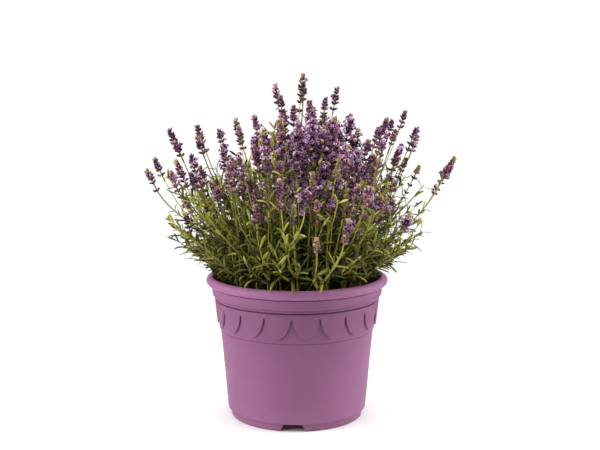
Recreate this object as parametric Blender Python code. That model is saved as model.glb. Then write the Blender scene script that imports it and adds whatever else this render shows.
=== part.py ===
"""Potted lavender: a moulded plastic nursery pot filled with soil, and a lavender bush in flower.

Metres, +Z up. The origin is on the pot's axis, on the surface that the pot stands on, and the front
of the pot faces -Y. The bush is made of branches. Each branch is one stem with opposite leaves that
forks into two flower stems, and each flower stem carries a whorled flower spike of its own.
"""

import math

import bmesh
import bpy
from mathutils import Matrix, Vector

MM = 0.001
GAP = 0.4 * MM  # left between neighbouring pieces

# Pot
POT_SEGMENTS = 48
RIM_RADIUS = 115 * MM
POT_HEIGHT = 180.5 * MM
WALL = 2.6 * MM
FOOT_RADIUS = 84 * MM
FOOT_WIDTH = 4.2 * MM
FOOT_HEIGHT = 9.8 * MM
FLOOR_UNDERSIDE = 9.2 * MM
FLOOR_TOP = 12.4 * MM
# The side's outline, as radius and height, from the ledge over the foot ring to the collar's top
POT_SIDE = [
    (88.4 * MM, 11.4 * MM),
    (97.3 * MM, 111.3 * MM),
    (98.9 * MM, 112.7 * MM),
    (102.9 * MM, 150.2 * MM),
    (104.6 * MM, 154.2 * MM),
    (107.4 * MM, 157.6 * MM),
    (108.3 * MM, 167.6 * MM),
]
LIP_CENTRE_HEIGHT = 174.4 * MM
LIP_THICK = 5.8 * MM  # half the height of the rolled lip
LIP_STEPS = 7
NOTCHES = 4
NOTCH_TURN = math.radians(-93.5)  # the front notch sits just left of the front
NOTCH_HALF_ANGLES = (math.radians(10.7), math.radians(8.0))  # at the bottom and at the top
NOTCH_HEIGHT = 8.6 * MM
DRAIN_HOLES = 8
DRAIN_HOLE_RADIUS = 5 * MM
DRAIN_CIRCLE_RADIUS = 60 * MM

# Soil
SOIL_EDGE_HEIGHT = 158.5 * MM
SOIL_CROWN = 5 * MM  # the middle stands this much higher than the edge
WATERING_RADIUS = 83 * MM  # further out than this, no leaf hangs below the rim's top

# Bush. Each row is a branch, given by the top of its first flower spike: the azimuth counted from
# +X in degrees, how far it reaches from the axis and how high it is, both in millimetres.
BRANCHES = [
    (0, 199, 330),
    (26, 160, 386),
    (35, 201, 351),
    (84, 181, 361),
    (122, 160, 373),
    (159, 203, 324),
    (193, 160, 367),
    (214, 171, 334),
    (264, 183, 320),
    (302, 156, 306),
    (7, 115, 379),
    (55, 128, 381),
    (125, 98, 380),
    (178, 126, 370),
    (242, 102, 345),
    (295, 115, 318),
    (21, 55, 417),
    (186, 27, 421),
    (350, 8, 434),
]
ROOT_SHARE = 0.30  # a stem leaves the soil at this share of its top's reach
TWIN_SPACING = 28 * MM  # from a branch's first spike round the bush to its second
TWIN_INSET = 4 * MM  # the second spike stands this much nearer the axis
TWIN_DROP = 13 * MM  # and this much lower
FORK_AT = 0.46  # share of the way along the stem
STEM_HALF_WIDTH = (1.5 * MM, 0.9 * MM)  # lavender stems are square: at the soil and at the spike
LEAF_NODES = 5
LEAF_FROM, LEAF_TO = 0.10, 0.70  # shares of the way along the stem
LEAF_NODE_HEIGHT = 3 * MM
LEAF_LENGTH = 27 * MM
LEAF_HALF_WIDTH = 1.9 * MM
LEAF_HALF_THICKNESS = 0.5 * MM
SPIKE_SIDES = 6
SPIKE_WHORLS = 4
SPIKE_LENGTHS = (34 * MM, 27 * MM)  # of a branch's first and second spike
SPIKE_RADIUS = 5.2 * MM

COLOURS = {
    "pot": ((0.34, 0.14, 0.28), 0.45),
    "soil": ((0.035, 0.02, 0.012), 0.95),
    "branch": ((0.16, 0.18, 0.04), 0.6),
    "spike": ((0.13, 0.05, 0.16), 0.7),
}


def clear_scene():
    for obj in list(bpy.data.objects):
        bpy.data.objects.remove(obj)


def material(name, kind):
    colour, roughness = COLOURS[kind]
    made = bpy.data.materials.new(name)
    made.use_nodes = True
    shader = made.node_tree.nodes["Principled BSDF"]
    shader.inputs["Base Color"].default_value = (*colour, 1)
    shader.inputs["Roughness"].default_value = roughness
    shader.inputs["Metallic"].default_value = 0
    return made


def add_object(name, points, faces, kind, smooth=True):
    mesh = bpy.data.meshes.new(name)
    mesh.from_pydata(points, [], faces)
    mesh.validate()
    mesh.materials.append(material(name, kind))
    obj = bpy.data.objects.new(name, mesh)
    bpy.context.scene.collection.objects.link(obj)
    if smooth:
        mesh.shade_smooth()
        mesh.set_sharp_from_angle(angle=math.radians(35))
    return obj


def polar(azimuth, radius, height):
    return Vector((radius * math.cos(azimuth), radius * math.sin(azimuth), height))


# Turned pieces


def turned(profile, segments):
    """Points and faces of a profile of (radius, height) turned about Z. The profile starts and ends
    on the axis, and runs out along the underside, up the outside and back in over the top."""
    points = [(0, 0, profile[0][1])]
    rings = []
    for radius, height in profile[1:-1]:
        rings.append(range(len(points), len(points) + segments))
        points += [polar(math.tau * k / segments, radius, height) for k in range(segments)]
    points.append((0, 0, profile[-1][1]))
    top = len(points) - 1
    faces = []
    for k in range(segments):
        after = (k + 1) % segments
        faces.append((0, rings[0][after], rings[0][k]))
        for low, high in zip(rings, rings[1:]):
            faces.append((low[k], low[after], high[after], high[k]))
        faces.append((rings[-1][k], rings[-1][after], top))
    return points, faces


def inner_side(gap):
    """The pot's inner side, moved inwards by gap, from the top down to the floor."""
    low, floor = POT_SIDE[0], FLOOR_TOP + gap
    down = [(radius - WALL - gap, height) for radius, height in reversed(POT_SIDE[1:])]
    return down + [(low[0] - WALL - gap, floor)]


def lip_profile():
    """The rolled lip: an arc from under the lip, round its outer edge, to the rim's inner edge."""
    collar_radius = POT_SIDE[-1][0]
    reach = RIM_RADIUS - collar_radius
    points = []
    for k in range(LIP_STEPS + 1):
        turn = math.radians(-75 + 165 * k / LIP_STEPS)
        radius = collar_radius + reach * math.cos(turn)
        points.append((radius, LIP_CENTRE_HEIGHT + LIP_THICK * math.sin(turn)))
    inner_edge = [(collar_radius - 1.7 * MM, POT_HEIGHT - 1.3 * MM)]
    inner_edge.append((collar_radius - WALL, POT_HEIGHT - 4.5 * MM))
    return points + inner_edge


def make_pot():
    foot_inside = FOOT_RADIUS - FOOT_WIDTH
    under = [(0, FLOOR_UNDERSIDE), (foot_inside, FLOOR_UNDERSIDE), (foot_inside, 0)]
    foot = [(FOOT_RADIUS, 0), (FOOT_RADIUS + 0.6 * MM, FOOT_HEIGHT)]
    ledge = [(POT_SIDE[0][0] - 0.8 * MM, FOOT_HEIGHT)]
    profile = under + foot + ledge + POT_SIDE + lip_profile() + inner_side(0)
    profile.append((0, FLOOR_TOP))
    pot = add_object("pot", *turned(profile, POT_SEGMENTS), "pot")
    for k in range(NOTCHES):
        cut(pot, notch_cutter(NOTCH_TURN + math.tau * k / NOTCHES))
    for k in range(DRAIN_HOLES):
        cut(pot, drain_cutter(math.tau * (k + 0.5) / DRAIN_HOLES))


def cut(obj, cutter):
    cutter.hide_render = True
    cutter.display_type = "WIRE"
    modifier = obj.modifiers.new(cutter.name, "BOOLEAN")
    modifier.operation = "DIFFERENCE"
    modifier.object = cutter


def notch_cutter(azimuth):
    """A block with sloping ends that cuts a drainage notch out of the foot ring."""
    inside, outside = FOOT_RADIUS - 2 * FOOT_WIDTH, FOOT_RADIUS + FOOT_WIDTH
    bottom, top = (FOOT_RADIUS * math.sin(angle) for angle in NOTCH_HALF_ANGLES)
    corners = []
    for radius in (inside, outside):
        for half, height in ((bottom, -1 * MM), (top, NOTCH_HEIGHT)):
            corners += [Vector((radius, -half, height)), Vector((radius, half, height))]
    turn = Matrix.Rotation(azimuth, 4, "Z")
    faces = [(0, 2, 3, 1), (4, 5, 7, 6), (0, 1, 5, 4), (2, 6, 7, 3), (0, 4, 6, 2), (1, 3, 7, 5)]
    return add_object("cutter_notch", [turn @ corner for corner in corners], faces, "pot", False)


def drain_cutter(azimuth):
    bm = bmesh.new()
    place = Matrix.Translation(polar(azimuth, DRAIN_CIRCLE_RADIUS, FLOOR_TOP))
    bmesh.ops.create_cone(
        bm,
        cap_ends=True,
        segments=10,
        radius1=DRAIN_HOLE_RADIUS,
        radius2=DRAIN_HOLE_RADIUS,
        depth=12 * MM,
        matrix=place,
    )
    mesh = bpy.data.meshes.new("cutter_drain")
    bm.to_mesh(mesh)
    bm.free()
    obj = bpy.data.objects.new("cutter_drain", mesh)
    bpy.context.scene.collection.objects.link(obj)
    return obj


def make_soil():
    """Fills the pot to the soil's level and rises a little towards the middle."""
    wall = [point for point in reversed(inner_side(GAP)) if point[1] < SOIL_EDGE_HEIGHT]
    edge = wall[-1][0] - 0.5 * MM
    profile = [(0, FLOOR_TOP + GAP)] + wall + [(edge, SOIL_EDGE_HEIGHT)]
    for share in (0.66, 0.33):
        profile.append((edge * share, soil_height(edge * share)))
    profile.append((0, soil_height(0)))
    add_object("soil", *turned(profile, POT_SEGMENTS), "soil")


def soil_height(radius):
    """The height of the soil's surface at this distance from the axis."""
    share = min(radius / (POT_SIDE[-1][0] - WALL), 1)
    return SOIL_EDGE_HEIGHT + SOIL_CROWN * (1 - share * share)


# Bush


def branch_tips(azimuth, reach, height):
    """The tops of a branch's two spikes, side by side round the bush."""
    turn = math.radians(azimuth)
    first = polar(turn, reach * MM, height * MM)
    inwards = polar(turn + math.pi, TWIN_INSET, -TWIN_DROP)
    return first, first + inwards + polar(turn + math.pi / 2, TWIN_SPACING, 0)


def spike_direction(tip):
    """Spikes near the middle stand upright, and those further out lean outwards."""
    reach = Vector((tip.x, tip.y, 0))
    lean = math.radians(5 + 22 * reach.length / (200 * MM))
    return (reach.normalized() * math.sin(lean) + Vector((0, 0, math.cos(lean)))).normalized()


def stem_curve(start, start_direction, end, end_direction):
    """A cubic curve, as a function from 0..1 to its point and its direction."""
    handle = (end - start).length * 0.36
    b = start + start_direction * handle
    c = end - end_direction * handle

    def at(t):
        s = 1 - t
        point = start * s**3 + b * (3 * s * s * t) + c * (3 * s * t * t) + end * t**3
        slope = (b - start) * (s * s) + (c - b) * (2 * s * t) + (end - c) * (t * t)
        return point, slope.normalized()

    return at


class Shoot:
    """Grows one closed mesh out of square rings: a stem, and what sprouts from its sides."""

    def __init__(self):
        self.points = []
        self.faces = []

    def ring(self, centre, along, across, half_width, half_depth):
        across = (across - along * across.dot(along)).normalized()
        over = along.cross(across)
        first = len(self.points)
        for side, depth in ((-1, -1), (1, -1), (1, 1), (-1, 1)):
            offset = across * (side * half_width) + over * (depth * half_depth)
            self.points.append(centre + offset)
        return list(range(first, first + 4))

    def join(self, low, high, leave_out=()):
        for k in range(4):
            if k not in leave_out:
                after = (k + 1) % 4
                self.faces.append((low[k], low[after], high[after], high[k]))

    def side(self, low, high, k):
        """The corners of a side that join left out, in the order that a ring has."""
        after = (k + 1) % 4
        return [low[k], low[after], high[after], high[k]]

    def point_off(self, ring, tip):
        self.points.append(tip)
        for k in range(4):
            self.faces.append((ring[k], ring[(k + 1) % 4], len(self.points) - 1))

    def centre(self, ring):
        return sum((self.points[k] for k in ring), Vector()) / len(ring)

    def across(self, ring):
        return (self.points[ring[1]] - self.points[ring[0]]).normalized()

    def outward(self, ring):
        up = self.points[ring[3]] - self.points[ring[0]]
        return self.across(ring).cross(up).normalized()


class Clearance:
    """The capsules that each piece fills, so that a new leaf can keep clear of other branches."""

    def __init__(self):
        self.capsules = []

    def fill(self, owner, start, end, radius):
        self.capsules.append((owner, start, end, radius))

    def free(self, owner, start, end, radius):
        if min(start.z, end.z) < soil_height(0) + 2 * MM:
            return False
        far = max(Vector((p.x, p.y)).length for p in (start, end))
        if far > WATERING_RADIUS and min(start.z, end.z) < POT_HEIGHT + 4 * MM:
            return False
        for other, a, b, other_radius in self.capsules:
            if other != owner and gap_between(start, end, a, b) < radius + other_radius + GAP:
                return False
        return True


def gap_between(a, b, c, d, steps=8):
    """The least distance between two short segments, sampled along the first."""
    along = d - c
    least = math.inf
    for k in range(steps + 1):
        point = a.lerp(b, k / steps)
        share = max(0, min(1, (point - c).dot(along) / along.length_squared))
        least = min(least, (point - c - along * share).length)
    return least


def taper(t):
    low, high = STEM_HALF_WIDTH
    return low + (high - low) * t


def branch_curves(azimuth, reach, height):
    """The curves of a branch's two flower stems, and where each spike starts and points."""
    tips = branch_tips(azimuth, reach, height)
    directions = [spike_direction(tip) for tip in tips]
    feet = []
    for tip, direction, length in zip(tips, directions, SPIKE_LENGTHS):
        feet.append(tip - direction * length)
    root = (tips[0] + tips[1]) * (ROOT_SHARE / 2)
    root.z = soil_height(Vector((root.x, root.y)).length) + GAP
    out = Vector((feet[0].x - root.x, feet[0].y - root.y, 0))
    rise = Vector((0, 0, feet[0].z - root.z))
    first = stem_curve(root, (out * 0.9 + rise).normalized(), feet[0], directions[0])
    fork, slope = first(FORK_AT)
    second = stem_curve(fork, slope, feet[1], directions[1])
    return first, second, feet, directions


def reserve_stems(clearance):
    """Marks every stem and spike as filled before any leaf is grown."""
    for number, row in enumerate(BRANCHES):
        first, second, feet, directions = branch_curves(*row)
        for curve in (first, second):
            for k in range(12):
                a, b = curve(k / 12)[0], curve((k + 1) / 12)[0]
                clearance.fill(number, a, b, STEM_HALF_WIDTH[0] * math.sqrt(2))
        for foot, direction, length in zip(feet, directions, SPIKE_LENGTHS):
            clearance.fill(number, foot, foot + direction * length, SPIKE_RADIUS + 1 * MM)


def grow_leaf(shoot, low, high, side, slope, number, clearance):
    """Sprouts a leaf from one side of a stem, or closes that side where there is no room."""
    root = shoot.side(low, high, side)
    outward = shoot.outward(root)
    start = shoot.centre(root)
    middle = start + (outward + slope * 0.8).normalized() * (LEAF_LENGTH * 0.45)
    tip = middle + (outward + slope * 0.35).normalized() * (LEAF_LENGTH * 0.55)
    width = LEAF_HALF_WIDTH + 0.4 * MM
    if not (
        clearance.free(number, start, middle, width) and clearance.free(number, middle, tip, width)
    ):
        shoot.faces.append(tuple(root))
        return
    clearance.fill(number, start, middle, width)
    clearance.fill(number, middle, tip, width)
    along = (tip - start).normalized()
    blade = shoot.ring(middle, along, shoot.across(root), LEAF_HALF_WIDTH, LEAF_HALF_THICKNESS)
    shoot.join(root, blade)
    shoot.point_off(blade, tip)


def grow_stem(shoot, ring, curve, from_t, steps, across):
    """A plain square stem from a ring to the curve's end, with a flat end under the spike."""
    for k in range(1, steps + 1):
        t = from_t + (1 - from_t) * k / steps
        point, slope = curve(t)
        if k == steps:
            point = point - slope * GAP
        new = shoot.ring(point, slope, across, taper(t), taper(t))
        shoot.join(ring, new)
        ring = new
    shoot.faces.append(tuple(ring))


def grow_branch(number, row, clearance):
    first, second, feet, directions = branch_curves(*row)
    shoot = Shoot()
    point = first(0)[0]
    across = Vector((-math.sin(math.radians(row[0])), math.cos(math.radians(row[0])), 0))
    ring = shoot.ring(point, Vector((0, 0, 1)), across, taper(0), taper(0))
    shoot.faces.append(tuple(reversed(ring)))
    length = (feet[0] - point).length
    stops = [LEAF_FROM + (LEAF_TO - LEAF_FROM) * k / (LEAF_NODES - 1) for k in range(LEAF_NODES)]
    stops.append(FORK_AT)
    pair = 0
    for stop in sorted(stops):
        rings = []
        for t in (stop, stop + LEAF_NODE_HEIGHT / length):
            point, slope = first(t)
            rings.append(shoot.ring(point, slope, across, taper(t), taper(t)))
        shoot.join(ring, rings[0])
        if stop == FORK_AT:
            sprout_twin(shoot, rings, second)
        else:
            sides = (pair % 2, pair % 2 + 2)
            shoot.join(*rings, leave_out=sides)
            for side in sides:
                grow_leaf(shoot, *rings, side, slope, number, clearance)
            pair += 1
        ring = rings[1]
    grow_stem(shoot, ring, first, stops[-2] + LEAF_NODE_HEIGHT / length, 3, across)
    add_object(f"branch_{number + 1:02d}", shoot.points, shoot.faces, "branch", smooth=False)


def sprout_twin(shoot, rings, second):
    """The second flower stem leaves the side of the first that faces its own spike."""
    towards = second(1)[0] - second(0)[0]
    sides = [shoot.side(*rings, k) for k in range(4)]
    best = max(range(4), key=lambda k: shoot.outward(sides[k]).dot(towards))
    shoot.join(*rings, leave_out=(best,))
    root = sides[best]
    point, slope = second(0.12)
    point = point + shoot.outward(root) * (2 * STEM_HALF_WIDTH[0])
    across = shoot.across(root)
    ring = shoot.ring(point, slope, across, taper(FORK_AT), taper(FORK_AT))
    shoot.join(root, ring)
    grow_stem(shoot, ring, second, 0.12, 4, across)


def make_spike(name, foot, direction, length):
    """A flower spike: whorls of buds, wide and narrow in turn, that taper to a pointed top."""
    across = direction.orthogonal().normalized()
    over = direction.cross(across)
    profile = [(1.6 * MM, 0)]
    for k in range(SPIKE_WHORLS):
        middle = (k + 0.55) / (SPIKE_WHORLS + 0.4)
        full = SPIKE_RADIUS * (1 - 0.45 * middle * middle)
        profile.append((full, middle * length))
        profile.append((full * 0.62, (k + 1.05) / (SPIKE_WHORLS + 0.4) * length))
    points = []
    for row, (radius, height) in enumerate(profile):
        for k in range(SPIKE_SIDES):
            turn = math.tau * (k + 0.25 * row) / SPIKE_SIDES
            offset = across * (radius * math.cos(turn)) + over * (radius * math.sin(turn))
            points.append(foot + direction * height + offset)
    points.append(foot + direction * length)
    faces = [tuple(reversed(range(SPIKE_SIDES)))]
    for row in range(len(profile) - 1):
        low, high = row * SPIKE_SIDES, (row + 1) * SPIKE_SIDES
        for k in range(SPIKE_SIDES):
            after = (k + 1) % SPIKE_SIDES
            faces.append((low + k, low + after, high + after, high + k))
    last = (len(profile) - 1) * SPIKE_SIDES
    for k in range(SPIKE_SIDES):
        faces.append((last + k, last + (k + 1) % SPIKE_SIDES, len(points) - 1))
    add_object(name, points, faces, "spike", smooth=False)


def make_bush():
    clearance = Clearance()
    reserve_stems(clearance)
    for number, row in enumerate(BRANCHES):
        grow_branch(number, row, clearance)
        feet, directions = branch_curves(*row)[2:]
        for letter, foot, direction, length in zip("ab", feet, directions, SPIKE_LENGTHS):
            make_spike(f"flower_spike_{number + 1:02d}{letter}", foot, direction, length)


clear_scene()
make_pot()
make_soil()
make_bush()
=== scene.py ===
"""The looks of the potted lavender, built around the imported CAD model.

The turned plastic pot gets its hanging swags, grooves and rolled lip, the soil gets crumbs and bark,
and each CAD branch and flower spike is grown again in full detail where the CAD has it. More flower
stems and leafy shoots fill the bush between them. Metres, +Z up, the front of the pot faces -Y.
"""

import math

import bpy
import numpy as np
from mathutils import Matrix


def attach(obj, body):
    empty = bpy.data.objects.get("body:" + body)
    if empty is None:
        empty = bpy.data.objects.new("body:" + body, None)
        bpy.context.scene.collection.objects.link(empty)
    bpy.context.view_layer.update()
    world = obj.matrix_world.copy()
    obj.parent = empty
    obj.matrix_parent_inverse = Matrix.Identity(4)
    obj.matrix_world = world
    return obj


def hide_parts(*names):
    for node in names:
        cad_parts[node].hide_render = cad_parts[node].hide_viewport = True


MM = 0.001
GOLDEN_ANGLE = math.pi * (3 - math.sqrt(5))
UP = np.array([0.0, 0.0, 1.0])

# Camera and studio
CAMERA_PLACE = (0, -1.3477, 0.4315)
CAMERA_PITCH = math.radians(7.94)  # downwards
CAMERA_YAW = math.radians(0.17)  # to the right
CAMERA_LENS = 64.4
FLOOR_RADIUS = 0.45
FLOOR_SIDES = 96
WORLD_LEVEL = 0.12  # light from the horizon
WORLD_RISE = 1.16  # how much brighter it is straight above
WORLD_BACK = 0.26  # and behind the object, with as much less in front of it
BACKGROUND_STRENGTH = 1.05  # what the camera sees behind the floor

# Pot, as in the CAD model
RIM_RADIUS = 115 * MM
POT_HEIGHT = 180.5 * MM
WALL = 2.6 * MM
FOOT_RADIUS = 84 * MM
FOOT_WIDTH = 4.2 * MM
FOOT_HEIGHT = 9.8 * MM
FLOOR_UNDERSIDE = 9.2 * MM
FLOOR_TOP = 12.4 * MM
POT_SIDE = MM * np.array([  # radius and height, up the outside
    (88.4, 11.4), (97.3, 111.3), (98.9, 112.7), (102.9, 150.2), (104.6, 154.2), (107.4, 157.6),
    (108.3, 167.6),
])
COLLAR_RADIUS = POT_SIDE[-1][0]
LIP_CENTRE_HEIGHT = 174.4 * MM
LIP_THICK = 5.8 * MM
LIP_STEPS = 18
NOTCHES = 4
NOTCH_TURN = math.radians(-93.5)
NOTCH_HALF_ANGLES = (math.radians(10.7), math.radians(8.0))
NOTCH_HEIGHT = 8.6 * MM
DRAIN_HOLES = 8
DRAIN_HOLE_RADIUS = 5 * MM
DRAIN_CIRCLE_RADIUS = 60 * MM

# The relief on the pot's band: swags that hang side by side from a plain strip
SWAGS = 19
SWAG_TURN = math.radians(-84)  # the middle of the swag nearest the front
STRIP_TOP = 149.9 * MM
SWAG_TOP = 144.2 * MM
SWAG_DEPTH = 25.4 * MM
SWAG_HALF_WIDTH = 15.5 * MM
SWAG_POWER = 1.7  # of the superellipse that a swag's outline follows
BAND_RADIUS = 101 * MM
BAND_HEIGHTS = (112.6 * MM, 150.1 * MM)
BAND_SINK = 0.5 * MM  # the ground between the swags lies this much under the CAD surface
RELIEF_HEIGHT = 2.1 * MM
RELIEF_ROOT = 0.9 * MM  # how deep the relief's body goes into the wall
RELIEF_BEVEL = 1.25 * MM
# Round the lower edge, as shares of (the bevel's width, the relief's height)
BEVEL_STEPS = ((0.0, 1.0), (0.22, 0.93), (0.5, 0.66), (0.8, 0.22), (0.92, 0.0))
GROOVES = (  # height, half width, depth
    (112.6 * MM, 0.8 * MM, 1.2 * MM),
    (150.4 * MM, 1.0 * MM, 1.3 * MM),
    (154.5 * MM, 0.8 * MM, 0.8 * MM),
)
POT_COLUMNS = 288
UNDERSIDE_ROWS = 9  # of the outline, up to the foot's outer edge
INNER_LIP_ROWS = 6  # past the top of the lip
SWAG_COLUMNS = 26  # from one swag's middle of the gap to the next's

# Soil
GAP = 0.4 * MM
SOIL_EDGE_HEIGHT = 158.5 * MM
SOIL_CROWN = 5 * MM
SOIL_RINGS = 34
SOIL_SEGMENTS = 120
SOIL_ROUGHNESS = 1.6 * MM
CRUMB_REACH = 97 * MM
CRUMB_SIDES = 6
CRUMBS = 1500
BARK_CHIPS = 150

# Bush, as in the CAD model: azimuth in degrees, reach and height in mm of each first spike's top
BRANCHES = [
    (0, 199, 330), (26, 160, 386), (35, 201, 351), (84, 181, 361), (122, 160, 373), (159, 203, 324),
    (193, 160, 367), (214, 171, 334), (264, 183, 320), (302, 156, 306), (7, 115, 379), (55, 128, 381),
    (125, 98, 380), (178, 126, 370), (242, 102, 345), (295, 115, 318), (21, 55, 417), (186, 27, 421),
    (350, 8, 434),
]
FAR_REACH = 190  # mm: stems that reach further are bare in their upper half
ROOT_SHARE = 0.30
TWIN_SPACING = 28 * MM
TWIN_INSET = 4 * MM
TWIN_DROP = 13 * MM
FORK_AT = 0.46
STEM_HALF_WIDTH = (1.5 * MM, 0.9 * MM)
STEM_SLIMNESS = 0.66  # the CAD stems are a little thicker than real ones
STEM_CORNER = 1.22  # how much further out than its sides a stem's corners are
SPIKE_LENGTHS = (34 * MM, 27 * MM)

# The flower stems that the CAD model leaves out: a crown of full spikes in the middle, a looser
# ring round it, and low ones that lean to the front. Each is (stems, least reach, most reach,
# height at the least reach, height at the most, most that one stands lower), in mm.
CROWN = (62, 10, 86, 420, 346, 95)
CROWN_CENTRE = (20, 0)
BOUQUET = (20, 4, 46, 396, 356, 45)  # in full bloom, nearest the front
BOUQUET_CENTRE = (32, -34)
RING = (38, 100, 172, 358, 322, 80)
FRONT_STEMS = 26
SIDE_STEMS = [  # azimuth, reach, height and where in the bush, for a few that stand on their own
    (-10, 150, 369, "ring"), (-27, 137, 343, "ring"), (8, 127, 364, "ring"), (-40, 118, 340, "ring"),
    (-15, 114, 358, "ring"), (-22, 110, 331, "ring"), (-155, 100, 341, "bouquet"),
    (-161, 88, 334, "bouquet"), (-40, 35, 400, "bouquet"),
]
STEM_GROUPS = 8
SPIKE_CLEARANCE = 12 * MM
SPIKE_ATTEMPTS = 14
GREEN_FULLNESS = 0.8

# What those stems are like in each part of the bush: the spike's length in mm, the root's share of
# the tip's reach, leaf pairs, up to where they have tufts, the share of green spikes, the head's share
# of the spike, its fullness, and how many buds may be open
SPARSE = {
    "length": (20, 32),
    "root": (0.22, 0.42),
    "pairs": (7, 10),
    "tufts": 0.5,
    "green": 0.14,
    "head": (0.5, 0.72),
    "fullness": (0.78, 0.98),
    "blooms": (0.02, 0.05, 0.12, 0.35),
}
FULL = SPARSE | {"length": (27, 38), "green": 0.05, "head": (0.66, 0.85), "fullness": (1.0, 1.22)}
KINDS = {
    "crown": FULL | {"blooms": (0.08, 0.2, 0.4, 0.75)},
    "bouquet": FULL | {"blooms": (0.5, 0.7, 0.9)},
    "ring": SPARSE,
    "front": SPARSE | {"root": (0.68, 0.84), "pairs": (3, 5), "tufts": 0.2, "green": 0.3},
}

# Leafy shoots without flowers: (shoots, least reach, most reach, height at each, spread of height)
LOW_SHOOTS = (155, 30, 144, 232, 216, 13)
TALL_SHOOTS = (205, 8, 166, 328, 262, 26)
SHOOT_GROUPS = 8
SHOOT_LEAST_HEIGHTS = (104 * MM, 190 * MM, 213 * MM)  # up to this reach, and beyond it, over the rim
# Further out than a reach, a share of the shoots is left out: all round, and at the front, where the
# flower stems show between the leaves
OPENING = (112 * MM, 0.22)
FRONT_OPENING = (80 * MM, 0.40)
FRONT_FACING = 0.5
SIDE_SHOOTS = [  # azimuth, reach and height of those that stretch furthest to the sides
    (-34, 146, 222), (-20, 152, 228), (-5, 158, 238), (9, 150, 224), (172, 156, 236), (188, 150, 226),
    (201, 152, 240),
]

# Half an ellipsoid inside which the leaves are painted darker: painted shade of the bush, and partly older,
# darker inner leaves
BUSH_RADIUS = 150 * MM
BUSH_RISE = 140 * MM

MOST_ROOT_REACH = 91 * MM
ROOT_DEPTH = 2 * MM
RIM_ZONE = 88 * MM  # further out than this, no leaf hangs lower than RIM_ROOM over the rim
RIM_ROOM = 8 * MM
RIM_LEAST_ROOM = 3 * MM  # the same, once it has drooped

# The leaves of a pair, and the small ones of its tufts: how far they spread from the stem in radians,
# how much they stray to the side, their share of the pair's size, their half width, and how they bend
PAIR_LEAF = ((0.45, 1.0), 0.12, (0.8, 1.15), 1.5 * MM, (-0.3, 0.4))
SMALL_LEAF = ((0.3, 0.75), 0.5, (0.32, 0.62), 1.05 * MM, (0.1, 0.35))
LEAF_FOOT = 0.6 * MM  # how far from the middle of the stem a leaf starts
RIM_LEAF_TURNS = [-128, -119, -104, -95, -78, -72, -48, 15, 75, 120, 170]

# Leaves: where along a leaf its rings are, how wide it is there
LEAF_RINGS = np.array([0.03, 0.16, 0.36, 0.60, 0.80, 0.94])
LEAF_WIDTHS = np.array([0.30, 0.56, 0.84, 1.00, 0.88, 0.50])
LEAF_FOLD = 0.34
LEAF_THICK = 0.26 * MM
# A bud's calyx: a tube with a pinched foot and a narrow mouth
CALYX_RINGS = np.array([0.05, 0.30, 0.62, 0.92, 1.0])
CALYX_WIDTHS = np.array([0.50, 0.92, 1.0, 0.80, 0.62])
CALYX_SIDES = 6
BUD_LENGTH = 4.9 * MM
BUD_HALF_WIDTH = 1.34 * MM
BUD_FOOT = 0.9 * MM  # how far from the middle of the stem a bud starts
BRACT_LENGTH = 4.2 * MM
BRACT_HALF_WIDTH = 1.35 * MM
WHORL_SPACING = 4.0 * MM
SPIKE_CREST = 5.2 * MM  # the length of the buds at a spike's top
# An open flower: a narrow tube that flares into five lobes
COROLLA_SIDES = 10
COROLLA_RINGS = np.array([0.0, 0.42, 0.80, 0.98, 0.90, 0.62])
COROLLA_WIDTHS = np.array([0.16, 0.24, 0.66, 1.0, 0.92, 0.34])
# A closed flower
CLOSED_SHARE = 0.5  # of the buds
BUD_TIP_SIDES = 5
BUD_TIP_RINGS = np.array([0.1, 0.6, 0.88])
BUD_TIP_WIDTHS = np.array([0.55, 0.72, 0.45])
MAP_MARGIN = 0.07  # of a tube's cell in the map


# Vectors and curves


def unit(vectors):
    """Vectors scaled to a length of 1, along the last axis."""
    length = np.linalg.norm(vectors, axis=-1, keepdims=True)
    return vectors / np.maximum(length, 1e-12)


def polar(azimuths, radii, heights):
    """Points from their azimuths, their distances from the pot's axis and their heights."""
    x, y = radii * np.cos(azimuths), radii * np.sin(azimuths)
    return np.stack(np.broadcast_arrays(x, y, heights), axis=-1)


def outward_of(point):
    """The level direction from the pot's axis to this point."""
    return unit(np.array([point[0], point[1], 0.0]) + np.array([0, -1e-9, 0]))


def square_to(vectors, axes):
    """The part of each vector that is square to its axis, at a length of 1."""
    return unit(vectors - axes * np.sum(vectors * axes, axis=-1, keepdims=True))


def turned_about(vectors, axes, angles):
    """Each vector turned about its own axis."""
    angles = np.asarray(angles)[..., None]
    crossed = np.cross(axes, vectors)
    along = axes * np.sum(axes * vectors, axis=-1, keepdims=True)
    return vectors * np.cos(angles) + crossed * np.sin(angles) + along * (1 - np.cos(angles))


def soil_height(radius):
    share = np.minimum(radius / (COLLAR_RADIUS - WALL), 1)
    return SOIL_EDGE_HEIGHT + SOIL_CROWN * (1 - share * share)


def stem_curve(start, start_direction, end, end_direction, handle_share=0.36):
    """A cubic curve, as a function from 0..1 to its point and its direction."""
    handle = np.linalg.norm(end - start) * handle_share
    b = start + start_direction * handle
    c = end - end_direction * handle

    def at(t):
        s = 1 - t
        point = start * s**3 + b * (3 * s * s * t) + c * (3 * s * t * t) + end * t**3
        slope = (b - start) * (s * s) + (c - b) * (2 * s * t) + (end - c) * (t * t)
        return point, unit(slope)

    return at


def spike_direction(tip):
    """Spikes near the middle stand upright, and those further out lean outwards."""
    lean = math.radians(5 + 22 * math.hypot(tip[0], tip[1]) / (200 * MM))
    return unit(outward_of(tip) * math.sin(lean) + UP * math.cos(lean))


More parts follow.
